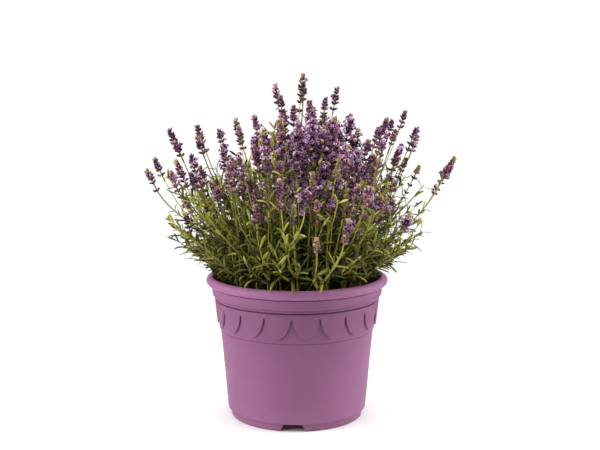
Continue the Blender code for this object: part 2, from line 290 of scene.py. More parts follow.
def branch_curves(azimuth, reach, height):
    """The curves of a CAD branch's two flower stems, and where each spike starts and points."""
    turn = math.radians(azimuth)
    first_tip = polar(turn, reach * MM, height * MM)
    second_tip = first_tip + polar(turn + math.pi, TWIN_INSET, -TWIN_DROP)
    second_tip = second_tip + polar(turn + math.pi / 2, TWIN_SPACING, 0)
    tips = (first_tip, second_tip)
    directions = [spike_direction(tip) for tip in tips]
    feet = [tip - way * long for tip, way, long in zip(tips, directions, SPIKE_LENGTHS)]
    root = (tips[0] + tips[1]) * (ROOT_SHARE / 2)
    root[2] = soil_height(math.hypot(root[0], root[1])) + GAP
    out = (feet[0] - root) * (1, 1, 0)
    rise = (feet[0] - root) * (0, 0, 1)
    first = stem_curve(root, unit(out * 0.9 + rise), feet[0], directions[0])
    fork, slope = first(FORK_AT)
    second = stem_curve(fork, slope, feet[1], directions[1])
    return first, second, feet, directions


def taper(t):
    low, high = STEM_HALF_WIDTH
    return (low + (high - low) * t) * STEM_SLIMNESS


# Mesh building


class Growth:
    """Gathers closed tubes into one mesh. Each tube has its own cell in the map OFBake, and its points
    carry a tone of their own, and how far along the tube they are, for the materials to read."""

    def __init__(self, name, materials):
        self.name = name
        self.materials = materials
        self.batches = []

    def tubes(self, rings, starts, ends, tones, material):
        """rings is tubes x rows x sides x 3, and starts and ends close the tubes."""
        tones = np.broadcast_to(np.asarray(tones, float), (len(rings),))
        self.batches.append((np.asarray(rings), starts, ends, tones, material))

    def build(self, slot):
        points, faces, maps, tones, alongs, kinds = [], [], [], [], [], []
        total = sum(len(batch[0]) for batch in self.batches)
        across = math.ceil(math.sqrt(total))
        down = math.ceil(total / across)
        first, cell = 0, 0
        for rings, starts, ends, tone, material in self.batches:
            count, rows, sides = rings.shape[:3]
            per_tube = rows * sides + 2
            flat = rings.reshape(count, rows * sides, 3)
            points.append(np.concatenate([starts[:, None], flat, ends[:, None]], axis=1).reshape(-1, 3))
            tones.append(np.repeat(tone, per_tube))
            heights = np.arange(1, rows + 1) / (rows + 1)
            alongs.append(np.tile(np.concatenate([[0], np.repeat(heights, sides), [1]]), count))
            offsets = first + np.arange(count) * per_tube
            cells = cell + np.arange(count)
            corner = np.stack([cells % across, cells // across], axis=1)
            for template, places in closed_faces(rows, sides, heights):
                made = (np.array(template)[None] + offsets[:, None, None]).reshape(-1, len(template[0]))
                faces += made.tolist()
                inset = MAP_MARGIN + (1 - 2 * MAP_MARGIN) * np.array(places)
                maps.append(((corner[:, None, None] + inset[None]) / (across, down)).reshape(-1, 2))
                kinds.append(np.full(len(made), self.materials.index(material)))
            first += count * per_tube
            cell += count
        obj = mesh_object(self.name, np.concatenate(points), faces, self.materials, np.concatenate(maps))
        obj.data.polygons.foreach_set("material_index", np.concatenate(kinds).astype(np.int32))
        add_number(obj, "tone", np.concatenate(tones))
        add_number(obj, "along", np.concatenate(alongs))
        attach(obj, "root")
        return obj


def ring_faces(first, order, columns, heights):
    """The quads between rings of points, and their corners in the map. order has the rings' numbers,
    heights where each is in the map, and first is the index of the first ring's first point."""
    faces, places = [], []
    for row in range(len(order) - 1):
        low, high = (first + number * columns for number in order[row : row + 2])
        bottom, top = heights[row : row + 2]
        for k in range(columns):
            after = (k + 1) % columns
            left, right = k / columns, (k + 1) / columns
            faces.append((low + k, low + after, high + after, high + k))
            places.append([(left, bottom), (right, bottom), (right, top), (left, top)])
    return faces, places


def closed_faces(rows, columns, heights):
    """The quads and the closing triangles of a tube whose points are its start, its rings and its end,
    both with their corners in the map."""
    caps, places = [], []
    last = rows * columns + 1
    top = last - columns
    for k in range(columns):
        after = (k + 1) % columns
        left, middle, right = k / columns, (k + 0.5) / columns, (k + 1) / columns
        caps += [(0, 1 + after, 1 + k), (top + k, top + after, last)]
        places.append([(middle, 0), (right, heights[0]), (left, heights[0])])
        places.append([(left, heights[-1]), (right, heights[-1]), (middle, 1)])
    return ring_faces(1, range(rows), columns, heights), (caps, places)


def mesh_object(name, points, faces, materials, places=None):
    """A mesh in the scene, smooth where it has a map, whose corners' places are given."""
    mesh = bpy.data.meshes.new(name)
    mesh.from_pydata(points.tolist(), [], faces)
    for material in materials:
        mesh.materials.append(material)
    if places is not None:
        layer = mesh.uv_layers.new(name="OFBake")
        layer.data.foreach_set("uv", np.asarray(places, np.float32).ravel())
        mesh.shade_smooth()
    obj = bpy.data.objects.new(name, mesh)
    bpy.context.scene.collection.objects.link(obj)
    return obj


def circles(axes, hints, sides):
    """A circle of points round each axis, at a radius of 1. It starts on the side of its hint."""
    across = square_to(np.broadcast_to(hints, axes.shape), axes)
    angles = (np.arange(sides) * math.tau / sides)[None, :, None]
    return across[:, None] * np.cos(angles) + np.cross(axes, across)[:, None] * np.sin(angles)


def rings_along(bases, axes, circle, heights, widths):
    """The rings of straight tubes. heights is tubes x rows, and widths is tubes x rows x sides, or x 1."""
    middles = bases[:, None, None] + heights[..., None, None] * axes[:, None, None]
    return middles + circle[:, None] * widths[..., None]


def add_number(obj, name, values):
    attribute = obj.data.attributes.new(name, "FLOAT", "POINT")
    attribute.data.foreach_set("value", values.astype(np.float32))


# Leaves, stems and flowers


def grow_leaves(growth, material, bases, ways, faces_up, lengths, half_widths, bends, tones):
    """Narrow leaves, folded along the middle. Each starts at its base along its way, and bends
    by its own angle towards its upper side, or away from it where the angle is negative."""
    steps = np.concatenate([[0], LEAF_RINGS, [1]])
    normals = square_to(faces_up, ways)
    turns = (bends[:, None] * steps[None])[..., None]
    along = ways[:, None] * np.cos(turns) + normals[:, None] * np.sin(turns)
    above = normals[:, None] * np.cos(turns) - ways[:, None] * np.sin(turns)
    middles = (along[:, 1:] + along[:, :-1]) / 2 * np.diff(steps)[None, :, None]
    spine = np.concatenate([np.zeros((len(bases), 1, 3)), np.cumsum(middles, axis=1)], axis=1)
    spine = bases[:, None] + spine * lengths[:, None, None]
    wide = (half_widths[:, None] * LEAF_WIDTHS[None])[..., None]
    centre, up = spine[:, 1:-1], above[:, 1:-1]
    side = np.cross(normals, ways)[:, None] * wide
    edge = up * wide * LEAF_FOLD
    thick = up * LEAF_THICK * (0.6 + 0.4 * LEAF_WIDTHS)[None, :, None]
    rings = [centre + side + edge, centre + thick, centre - side + edge, centre - thick]
    growth.tubes(np.stack(rings, axis=2), spine[:, 0], spine[:, -1], tones, material)


def grow_stem(growth, curve, from_t, to_t, rows, half_width, tone):
    """A square stem with softly rounded corners along a curve."""
    sides = 8
    angles = (np.arange(sides) * math.tau / sides)[:, None]
    corner = np.where(np.arange(sides) % 2 == 0, 1.0, STEM_CORNER)[:, None]
    rings = []
    across = np.array([1.0, 0.0, 0.0])
    for t in np.linspace(from_t, to_t, rows):
        point, slope = curve(t)
        across = square_to(across, slope)
        circle = across * np.cos(angles) + np.cross(slope, across) * np.sin(angles)
        rings.append(point + circle * half_width(t) * corner)
    start, end = curve(from_t)[0], curve(to_t)[0]
    growth.tubes(np.array(rings)[None], start[None], end[None], tone, STEM)


def leafy_stem(growth, rng, curve, stops, sizes, tuft_until):
    """Opposite leaves along a stem, each pair a quarter turn from the last. sizes gives the leaves'
    length at the first and the last stop. Up to tuft_until, small leaves sprout beside each pair."""
    leaves = []
    turn = rng.uniform(0, math.tau)
    for k, t in enumerate(stops):
        point, slope = curve(t)
        around = square_to(np.array([1.0, 0.2, 0.0]), slope)
        size = sizes[0] + (sizes[1] - sizes[0]) * k / max(len(stops) - 1, 1)
        turn += math.pi / 2 + rng.normal(0, 0.22)
        for half in (0, math.pi):
            out = turned_about(around, slope, turn + half + rng.normal(0, 0.12))
            small_ones = rng.integers(1, 4) if t < tuft_until else 0
            for spreads, stray, shares, width, bends in [PAIR_LEAF] + [SMALL_LEAF] * small_ones:
                spread = rng.uniform(*spreads)
                aside = np.cross(slope, out) * rng.normal(0, stray)
                way = unit(slope * math.cos(spread) + (out + aside) * math.sin(spread))
                length = size * rng.uniform(*shares)
                reached = point + way * length
                if math.hypot(reached[0], reached[1]) > RIM_ZONE and reached[2] < POT_HEIGHT + RIM_ROOM:
                    continue
                up = slope - out * 0.25 + rng.normal(0, 0.22, 3)
                size_across = width * rng.uniform(0.65, 1.45)
                bend = rng.normal(*bends)
                # painted shade: leaves deeper in the bush get a darker tone, partly also for older inner
                # leaves
                tone = rng.beta(1.3, 1.2) * openness(point)
                leaves.append((point + out * LEAF_FOOT, way, up, length, size_across, bend, tone))
    leaves = [np.array(values) for values in zip(*leaves)]
    kept = clear_of_rim(*leaves[:4], leaves[5])
    grow_leaves(growth, LEAF, *(values[kept] for values in leaves))


def clear_of_rim(bases, ways, ups, lengths, bends):
    """Which leaves don't droop into the pot's rim."""
    half = (bends / 2)[:, None]
    tips = bases + (ways * np.cos(half) + square_to(ups, ways) * np.sin(half)) * lengths[:, None]
    return (np.hypot(tips[:, 0], tips[:, 1]) < RIM_ZONE) | (tips[:, 2] > POT_HEIGHT + RIM_LEAST_ROOM)


def openness(point):
    """How little a leaf at this point is shaded by the bush round it: 1 at the outside. It darkens the
    leaf's tone: painted shade, and partly older, darker leaves inside the bush.
    """
    out = math.hypot(math.hypot(point[0], point[1]) / BUSH_RADIUS, (point[2] - POT_HEIGHT) / BUSH_RISE)
    return min(max(0.36 + (out - 0.5) * 1.3, 0.24), 1.0)


def grow_buds(growth, rng, bases, axes, lengths, half_widths, tones, open_share, young):
    """Calyces of buds. Some carry an open flower, and others the tip of a closed one. Young ones are
    tan, and closed."""
    circle = circles(axes, (0.31, 0.17, 0.93), CALYX_SIDES)
    widths = (CALYX_WIDTHS[None] * half_widths[:, None])[..., None]
    rings = rings_along(bases, axes, circle, CALYX_RINGS[None] * lengths[:, None], widths)
    along = axes * lengths[:, None]
    if young:
        growth.tubes(rings, bases, bases + along * 1.12, tones, BRACT)
        return
    growth.tubes(rings, bases, bases + along * 0.80, tones, CALYX)
    chance = rng.uniform(0, 1, len(bases))
    opened = chance < open_share
    closed = ~opened & (chance < open_share + CLOSED_SHARE)
    if opened.any():
        grow_corollas(growth, rng, (bases + along * 0.72)[opened], axes[opened])
    if closed.any():
        grow_bud_tips(growth, rng, (bases + along * 0.70)[closed], axes[closed], half_widths[closed])


def grow_bud_tips(growth, rng, bases, axes, half_widths):
    """The closed flowers that peep out of their calyces."""
    circle = circles(axes, (0.2, 0.9, 0.3), BUD_TIP_SIDES)
    long = rng.uniform(1.8, 3.0, len(bases))[:, None] * MM
    widths = (BUD_TIP_WIDTHS[None] * half_widths[:, None])[..., None]
    rings = rings_along(bases, axes, circle, BUD_TIP_RINGS[None] * long, widths)
    growth.tubes(rings, bases, bases + axes * long, rng.uniform(0, 0.55, len(bases)), PETAL)


def grow_corollas(growth, rng, bases, axes):
    """Open flowers: a tube that flares into five rounded lobes, of different sizes."""
    count = len(bases)
    circle = circles(axes, UP + rng.normal(0, 0.2, (count, 3)), COROLLA_SIDES)
    lobe = np.where(np.arange(COROLLA_SIDES) % 2 == 0, 1.0, 0.52)
    lobe = lobe * (1 + 0.18 * np.cos(np.arange(COROLLA_SIDES) * math.tau / COROLLA_SIDES))
    size = rng.uniform(2.8, 4.1, (count, 1, 1)) * MM
    long = rng.uniform(4.2, 5.6, (count, 1)) * MM
    shape = np.where(COROLLA_WIDTHS[:, None] > 0.5, lobe[None], 1.0) * COROLLA_WIDTHS[:, None]
    widths = shape[None] * size * rng.uniform(0.82, 1.1, (count, 1, COROLLA_SIDES))
    rings = rings_along(bases, axes, circle, COROLLA_RINGS[None] * long, widths)
    ends = bases + axes * long * 0.5
    growth.tubes(rings, bases - axes * 0.3 * MM, ends, rng.uniform(0.35, 1, count), PETAL)


def grow_whorl(growth, rng, centre, axis, buds, bud_length, tilt, open_share, tone, bract=True, young=False):
    """A ring of buds round the stem, with a pair of papery bracts under it."""
    around = square_to(np.array([0.6, 0.5, 0.1]) + rng.normal(0, 0.4, 3), axis)
    angles = np.arange(buds) * math.tau / buds + rng.uniform(0, math.tau) + rng.normal(0, 0.13, buds)
    outs = turned_about(around, axis, angles)
    tilts = (tilt + rng.normal(0, 0.13, buds))[:, None]
    ways = unit(axis * np.cos(tilts) + outs * np.sin(tilts))
    bases = centre + outs * BUD_FOOT + axis * rng.normal(0, 0.5, (buds, 1)) * MM
    lengths = bud_length * rng.uniform(0.85, 1.15, buds)
    half_widths = BUD_HALF_WIDTH * rng.uniform(0.86, 1.14, buds)
    tones = np.clip(tone + rng.normal(0, 0.34, buds), 0, 1)
    grow_buds(growth, rng, bases, ways, lengths, half_widths, tones, open_share, young)
    if bract:
        outs = turned_about(around, axis, np.array([0, math.pi]) + rng.uniform(0, math.pi))
        grow_leaves(
            growth,
            BRACT,
            centre - axis * 1.2 * MM + outs * 0.7 * MM,
            unit(axis * 0.55 + outs),
            axis - outs * 0.3,
            BRACT_LENGTH * rng.uniform(0.8, 1.2, 2),
            np.full(2, BRACT_HALF_WIDTH),
            rng.normal(0.35, 0.15, 2),
            rng.uniform(0, 1, 2),
        )


def grow_spike(growth, rng, curve, foot, direction, length, bloom, tone, head, fullness=1.0, green=False):
    """A flower spike: a head of close whorls that tapers to young buds, and a few whorls apart
    from each other under it. head is its share of the length. A green one is all young buds."""
    grow_core(growth, rng, foot, direction, length)
    top = length - SPIKE_CREST
    low = length * (1 - head)
    whorls = max(3, round((top - low) / WHORL_SPACING))
    tan_from = rng.uniform(0.74, 1.0) if rng.uniform() < 0.6 else 1.0
    for k in range(whorls):
        share = (k + 0.2) / whorls
        centre = foot + direction * (low + (top - low) * share)
        size = BUD_LENGTH * fullness * (1 - 0.36 * share * share)
        buds = int(rng.integers(6, 8) if share < 0.6 else rng.integers(5, 7))
        opened = bloom * (1 - 0.4 * share)
        young = green or share > tan_from
        tilt = 0.98 - 0.40 * share
        grow_whorl(growth, rng, centre, direction, buds, size, tilt, opened, tone, k % 2 == 0, young)
    young = green or tan_from < 0.85
    grow_whorl(growth, rng, foot + direction * top, direction, 5, 4.0 * MM, 0.42, 0, tone + 0.1, False, young)
    young = green or tan_from < 1
    crest = foot + direction * (top + 1.2 * MM)
    grow_whorl(growth, rng, crest, direction, 3, 3.6 * MM, 0.14, 0, tone + 0.2, False, young)

    run = np.linalg.norm(foot - curve(0)[0])
    height = low - rng.uniform(4.5, 7) * MM
    for _ in range(int(rng.choice([1, 1, 2, 2, 3]))):
        point, slope = (foot + direction * height, direction) if height > 0 else curve(1 + height / run)
        buds = int(rng.integers(4, 7))
        grow_whorl(growth, rng, point, slope, buds, 4.7 * MM * fullness, 1.02, bloom * 0.5, tone - 0.1)
        height -= rng.uniform(6, 11) * MM


def grow_core(growth, rng, foot, direction, length):
    """The flower stem inside a spike."""

    def curve(t):
        return foot + direction * (length * t), direction

    tone = rng.uniform(0.2, 0.8)
    grow_stem(growth, curve, -0.03, 1 - 4 * MM / length, 5, lambda t: (0.95 - 0.35 * t) * MM, tone)


# Materials


def srgb(red, green, blue):
    """A colour of three values from 0 to 255, made linear."""
    values = np.array([red, green, blue]) / 255
    low, high = values / 12.92, ((values + 0.055) / 1.055) ** 2.4
    return (*np.where(values <= 0.04045, low, high).tolist(), 1)


class Nodes:
    """A node tree, with short ways to add what the materials and the light share."""

    def __init__(self, tree):
        self.tree = tree

    def add(self, kind, sources=(), **settings):
        node = self.tree.nodes.new(kind)
        for name, value in settings.items():
            setattr(node, name, value)
        for socket, source in sources:
            if isinstance(source, bpy.types.NodeSocket):
                self.tree.links.new(source, node.inputs[socket])
            else:
                node.inputs[socket].default_value = source
        return node

    def maths(self, operation, first, second):
        return self.add("ShaderNodeMath", [(0, first), (1, second)], operation=operation).outputs[0]


class Shader(Nodes):
    """A material on the Principled shader. Its looks come from each point's place, height and numbers."""

    def __init__(self, name, roughness, **constants):
        self.material = bpy.data.materials.new(name)
        self.material.use_nodes = True
        super().__init__(self.material.node_tree)
        self.inputs = self.tree.nodes["Principled BSDF"].inputs
        self.inputs["Roughness"].default_value = roughness
        for socket, value in constants.items():
            self.inputs[socket.replace("_", " ")].default_value = value
        self.places = self.add("ShaderNodeTexCoord").outputs["Object"]
        self.height = self.add("ShaderNodeSeparateXYZ", [("Vector", self.places)]).outputs["Z"]

    def noise(self, scale, detail, stretch=None):
        vector = self.places
        if stretch:
            vector = self.add("ShaderNodeMapping", [("Vector", vector), ("Scale", stretch)]).outputs[0]
        sources = [("Vector", vector), ("Scale", scale), ("Detail", detail)]
        return self.add("ShaderNodeTexNoise", sources).outputs["Fac"]

    def number(self, name):
        return self.add("ShaderNodeAttribute", attribute_name=name).outputs["Fac"]

    def ramp(self, source, *stops):
        """Colours along the source, each given as (place, red, green, blue)."""
        node = self.add("ShaderNodeValToRGB", [("Fac", source)])
        elements = node.color_ramp.elements
        while len(elements) < len(stops):
            elements.new(0.5)
        for element, (place, *colour) in zip(elements, stops):
            element.position = place
            element.color = srgb(*colour)
        return node.outputs["Color"]

    def span(self, source, low, high, start=0.0, end=1.0):
        """The source, from start..end to low..high."""
        ends = [("From Min", start), ("From Max", end), ("To Min", low), ("To Max", high)]
        return self.add("ShaderNodeMapRange", [("Value", source), *ends]).outputs["Result"]

    def mix(self, colour, share, *other):
        """The colour, with a share of another one mixed in."""
        sources = [(0, share), (6, colour), (7, srgb(*other))]
        return self.add("ShaderNodeMix", sources, data_type="RGBA").outputs[2]

    def finish(self, colour, relief, depth, strength, rough=None):
        """Joins the colour, the relief and the roughness to the shader, and gives the material."""
        sources = [("Height", relief), ("Distance", depth), ("Strength", strength)]
        normal = self.add("ShaderNodeBump", sources).outputs["Normal"]
        for source, socket in ((colour, "Base Color"), (normal, "Normal"), (rough, "Roughness")):
            if source:
                self.tree.links.new(source, self.inputs[socket])
        return self.material


def pot_material():
    """Moulded plastic with a fine grain and faint flow marks, and dusty at the foot. It is painted paler from
    the collar up to the lip, as painted light from above, and darker on the swags' steep edges, as painted
    shade."""
    made = Shader("pot_plastic", 0.38, IOR=1.49, Specular_IOR_Level=0.22)
    colour = made.ramp(made.noise(9, 3), (0.30, 122, 75, 110), (0.55, 129, 80, 116), (0.75, 136, 86, 123))
    colour = made.mix(colour, made.span(made.noise(26, 4, (1, 1, 0.16)), 0.0, 0.22), 144, 99, 132)
    low = made.span(made.height, 0.3, 0.0, 0.0, 0.035)
    colour = made.mix(colour, made.maths("MULTIPLY", low, made.noise(70, 4)), 168, 132, 150)
    # painted light: the colour turns paler from the collar up to the lip, as if lit from above
    colour = made.mix(colour, made.span(made.height, 0.0, 0.6, 0.155, 0.174), 166, 112, 152)
    # painted shade: the swags' steep side edges are darkened, as if in shadow
    colour = made.mix(colour, made.maths("MULTIPLY", made.number("painted_edge_shade"), 0.75), 74, 38, 62)
    grain = made.maths("MULTIPLY", made.noise(1500, 2), 0.35)
    waves = made.maths("MULTIPLY", made.noise(45, 2), 1.6)
    rough = made.span(made.noise(120, 3), 0.46, 0.62)
    return made.finish(colour, made.maths("ADD", grain, waves), 0.00022, 0.5, rough)


def soil_material():
    made = Shader("potting_soil", 0.95, Specular_IOR_Level=0.25)
    fine = made.noise(420, 6)
    stops = (0.30, 20, 13, 8), (0.52, 46, 31, 20), (0.66, 78, 52, 33), (0.78, 118, 84, 54)
    colour = made.mix(made.ramp(fine, *stops), made.span(made.noise(60, 3), 0.0, 0.5), 30, 19, 12)
    return made.finish(colour, fine, 0.0012, 0.9, made.span(made.noise(300, 3), 0.80, 1.0))


def bark_material():
    made = Shader("bark", 0.85, Specular_IOR_Level=0.3)
    fibres = made.noise(240, 5, (1, 1, 0.2))
    colour = made.ramp(fibres, (0.3, 58, 32, 16), (0.5, 104, 62, 32), (0.7, 150, 98, 55))
    colour = made.mix(colour, made.number("tone"), 66, 40, 24)
    return made.finish(colour, fibres, 0.0008, 0.9, made.span(fibres, 0.7, 0.95))


def leaf_material():
    """Green leaves with a fine felt: dark ones, pale ones, and some that are browner at the tip. The dark
    ones are partly painted shade, as the tone is darker deep inside the bush.
    """
    made = Shader("lavender_leaf", 0.6, Sheen_Weight=0.03, Sheen_Roughness=0.5, Specular_IOR_Level=0.28)
    tone = made.number("tone")
    stops = (0.05, 30, 33, 6), (0.30, 74, 76, 18), (0.58, 132, 130, 34), (0.90, 206, 200, 98)
    colour = made.mix(made.ramp(tone, *stops), made.span(made.noise(190, 3), 0.0, 0.55), 76, 80, 16)
    tip = made.span(made.number("along"), 0.0, 0.5, 0.82, 1.0)
    colour = made.mix(colour, made.maths("MULTIPLY", tip, tone), 168, 140, 66)
    rough = made.span(made.noise(500, 2), 0.5, 0.72)
    return made.finish(colour, made.noise(1100, 3), 0.0003, 0.6, rough)


def stem_material():
    """Olive stems that turn woody and orange-brown near the soil."""
    made = Shader("lavender_stem", 0.55, Specular_IOR_Level=0.4)
    colour = made.ramp(made.number("tone"), (0.1, 112, 114, 34), (0.5, 148, 146, 48), (0.9, 200, 194, 84))
    streaks = made.noise(300, 3, (1, 1, 0.12))
    colour = made.mix(colour, made.span(streaks, 0.0, 0.5), 112, 112, 44)
    woody = made.span(made.height, 1.2, 0.0, 0.165, 0.21)
    colour = made.mix(colour, made.maths("MULTIPLY", woody, made.noise(90, 3)), 146, 90, 42)
    return made.finish(colour, streaks, 0.0004, 0.6, made.span(streaks, 0.45, 0.7))


def calyx_material():
    """Downy buds: plum, with a greener foot."""
    tint = srgb(206, 170, 200)
    made = Shader(
        "lavender_calyx", 0.7, Sheen_Weight=0.15, Sheen_Roughness=0.4, Sheen_Tint=tint, Specular_IOR_Level=0.3
    )
    stops = (0.05, 40, 14, 34), (0.35, 88, 38, 74), (0.65, 150, 90, 118), (0.95, 232, 192, 178)
    foot = made.span(made.number("along"), 0.6, 0.0, 0.0, 0.45)
    colour = made.mix(made.ramp(made.number("tone"), *stops), foot, 126, 110, 84)
    down = made.noise(1300, 3)
    colour = made.mix(colour, made.span(down, 0.0, 0.32), 140, 102, 124)
    return made.finish(colour, down, 0.0005, 0.7, made.span(down, 0.6, 0.85))


def petal_material():
    """Lilac petals, deeper in the throat."""
    made = Shader("lavender_petal", 0.5, Sheen_Weight=0.1, Sheen_Roughness=0.4, Specular_IOR_Level=0.35)
    stops = (0.0, 84, 40, 94), (0.35, 150, 92, 152), (0.7, 218, 170, 212), (1.0, 252, 232, 246)
    throat = made.span(made.number("along"), 0.0, 0.8, 0.72, 1.0)
    colour = made.mix(made.ramp(made.number("tone"), *stops), throat, 70, 32, 92)
    colour = made.mix(colour, made.span(made.noise(700, 3), 0.0, 0.35), 160, 106, 166)
    rough = made.span(made.noise(900, 2), 0.42, 0.62)
    return made.finish(colour, made.noise(1600, 2), 0.0002, 0.5, rough)


def bract_material():
    """Papery bracts, tan and green with a touch of plum."""
    made = Shader("lavender_bract", 0.75, Specular_IOR_Level=0.3)
    colour = made.ramp(made.number("tone"), (0.1, 124, 116, 62), (0.5, 166, 146, 98), (0.9, 206, 182, 142))
    colour = made.mix(colour, made.span(made.noise(600, 3), 0.0, 0.5), 124, 82, 92)
    rough = made.span(made.noise(700, 2), 0.65, 0.85)
    return made.finish(colour, made.noise(1500, 2), 0.0003, 0.6, rough)


def floor_material():
    made = Shader("studio_floor", 0.85, Specular_IOR_Level=0.1)
    colour = made.ramp(made.noise(3, 2), (0.3, 249, 249, 249), (0.7, 252, 252, 252))
    return made.finish(colour, made.noise(300, 2), 0.0002, 0.15)


# Pot


def unround(azimuths, heights):
    """How far the thin wall stands off a true circle, most at the rim."""
    wave = 0.35 * MM * np.cos(2 * azimuths + 0.7) + 0.2 * MM * np.cos(5 * azimuths)
    return wave * np.clip(heights / POT_HEIGHT, 0, 1) ** 2


def pot_profile():
    """The pot's outline as (radius, height), out along the underside, up the outside and back in over
    the rim. The middle of the floor closes both ends."""
    foot_inside = FOOT_RADIUS - FOOT_WIDTH
    rows = [(foot_inside * share, FLOOR_UNDERSIDE) for share in (0.25, 0.5, 0.75, 0.985)]
    rows += [(foot_inside, FLOOR_UNDERSIDE - 0.6 * MM), (foot_inside, 5 * MM), (foot_inside, 0.5 * MM)]
    rows.append((foot_inside + 0.5 * MM, 0))
    foot = ((-0.6, 0), (0, 0.6), (0.3, 5), (0.55, 9), (0.6, 9.8))
    rows += [(FOOT_RADIUS + out * MM, height * MM) for out, height in foot]
    rows += [(POT_SIDE[0][0] - inset * MM, height * MM) for inset, height in ((0.9, 9.8), (0.25, 10.2))]
    band = [109, 110.6, 111.3, 111.9, 112.3, 112.6, 112.9, 113.3, 114, 120, 130, 140, 148]
    cove = [149.4, 149.9, 150.4, 150.9, 151.5, 152.2, 153.4, 153.9, 154.5, 155.0, 155.6, 156.6]
    collar = [157.6, 158.2, 160, 163, 166, 167.2]
    heights = np.array([11.4, 13, 17, *range(24, 108, 8), *band, *cove, *collar]) * MM
    rows += list(zip(np.interp(heights, POT_SIDE[:, 1], POT_SIDE[:, 0]), heights))
    rows.append((COLLAR_RADIUS - 0.9 * MM, 167.9 * MM))
    for turn in np.radians(np.linspace(-75, 90, LIP_STEPS + 1)):
        reach = (RIM_RADIUS - COLLAR_RADIUS) * math.cos(turn)
        rows.append((COLLAR_RADIUS + reach, LIP_CENTRE_HEIGHT + LIP_THICK * math.sin(turn)))
    inner_lip = ((1.0, 0.5), (1.7, 1.3), (2.3, 2.6), (2.6, 4.5))
    rows += [(COLLAR_RADIUS - inset * MM, POT_HEIGHT - drop * MM) for inset, drop in inner_lip]
    rows += [(radius - WALL, height) for radius, height in POT_SIDE[::-1]]
    rows += [(POT_SIDE[0][0] - WALL, FLOOR_TOP)]
    rows += [(foot_inside * share, FLOOR_TOP) for share in (0.85, 0.5, 0.2)]
    return np.array(rows)


def make_pot():
    profile = pot_profile()
    azimuths = np.arange(POT_COLUMNS) * math.tau / POT_COLUMNS
    radius = np.tile(profile[:, :1], (1, POT_COLUMNS))
    height = np.tile(profile[:, 1:], (1, POT_COLUMNS))
    outside = np.zeros(len(profile), bool)
    top_row = int(np.argmax(profile[:, 1]))
    outside[:top_row] = profile[:top_row, 0] > POT_SIDE[0][0] - 0.1 * MM
    band = outside & (profile[:, 1] >= BAND_HEIGHTS[0]) & (profile[:, 1] <= BAND_HEIGHTS[1])
    radius[band] -= BAND_SINK
    for middle, half_width, depth in GROOVES:
        groove = np.clip(1 - np.abs(height - middle) / half_width, 0, 1)
        radius -= np.where(outside[:, None], groove * depth, 0)
    radius += np.where(outside[:, None], unround(azimuths[None], height), 0)

    # The notches lift the foot's underside
    apart = np.abs((azimuths - NOTCH_TURN + math.pi / NOTCHES) % (math.tau / NOTCHES) - math.pi / NOTCHES)
    wide, narrow = NOTCH_HALF_ANGLES
    lift = NOTCH_HEIGHT * np.clip((wide - apart) / (wide - narrow), 0, 1)
    foot = (profile[:, 0] >= FOOT_RADIUS - FOOT_WIDTH - 1e-6) & (profile[:, 1] < FOOT_HEIGHT - 0.5 * MM)
    height[foot] = np.maximum(height[foot], lift[None])

    rings = polar(azimuths, radius, height)
    obj = turned_object("pot_shell", rings, FLOOR_UNDERSIDE, FLOOR_TOP, POT, mapped_rows(profile, top_row))
    drill_drain_holes(obj)
    obj.data.set_sharp_from_angle(angle=math.radians(50))
    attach(obj, "root")
    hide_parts("pot")


def swag_edge():
    """The lower edge of one swag with half the gap on each side, as points of (distance round the band
    from the swag's middle, height), and the directions that lead away from the raised part."""
    across = np.sin(np.linspace(-math.pi / 2, math.pi / 2, SWAG_COLUMNS - 4))
    hang = (1 - np.abs(across) ** SWAG_POWER).clip(0) ** (1 / SWAG_POWER)
    half_pitch = BAND_RADIUS * math.pi / SWAGS
    beside = (half_pitch + SWAG_HALF_WIDTH) / 2
    x = np.concatenate([[-half_pitch, -beside], across * SWAG_HALF_WIDTH, [beside, half_pitch]])
    z = np.concatenate([[SWAG_TOP, SWAG_TOP], SWAG_TOP - hang * SWAG_DEPTH, [SWAG_TOP, SWAG_TOP]])
    edge = np.stack([x, z], axis=1)
    slope = np.gradient(edge, axis=0)[:-1]
    away = unit(np.stack([slope[:, 1], -slope[:, 0]], axis=1))
    away[0] = (0, -1)
    return edge[:-1], away


def make_swags():
    """The raised strip and its swags, as one closed band that is rooted in the pot's wall."""
    edge, away = swag_edge()
    level = edge * (1, 0)
    rows = [(level + (0, STRIP_TOP + 0.5 * MM), -RELIEF_ROOT)]
    rows.append((level + (0, STRIP_TOP + 0.3 * MM), RELIEF_HEIGHT * 0.3))
    for share in (0.0, 0.12, 0.3, 0.5, 0.7, 0.87):
        height = STRIP_TOP + (edge[:, 1] - STRIP_TOP) * share
        rows.append((np.stack([edge[:, 0], height], axis=1), RELIEF_HEIGHT))
    for outward, rise in BEVEL_STEPS:
        rows.append((edge + away * outward * RELIEF_BEVEL, rise * RELIEF_HEIGHT))
    rows.append((edge + away * RELIEF_BEVEL, -RELIEF_ROOT))
    middles = SWAG_TURN + np.arange(SWAGS)[:, None] * math.tau / SWAGS
    rings = []
    for places, rise in rows:
        turns = (middles + places[None, :, 0] / BAND_RADIUS).ravel()
        heights = np.tile(places[:, 1], SWAGS)
        radius = np.interp(heights, POT_SIDE[:, 1], POT_SIDE[:, 0]) - BAND_SINK + rise
        rings.append(polar(turns, radius + unround(turns, heights), heights))
    count = len(rings)
    order = [k % count for k in range(count, -1, -1)]
    faces, places = ring_faces(0, order, len(rings[0]), np.arange(count + 1) / count)
    obj = mesh_object("pot_swags", np.concatenate(rings), faces, [POT], places)
    # painted shade: the bevel's side-facing edges get a number that darkens the pot's colour there
    bevel_rows = np.arange(count) >= count - len(BEVEL_STEPS)
    steep = np.tile(np.abs(away[:, 0]) ** 1.5, SWAGS)
    add_number(obj, "painted_edge_shade", np.outer(bevel_rows, steep).ravel())
    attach(obj, "root")


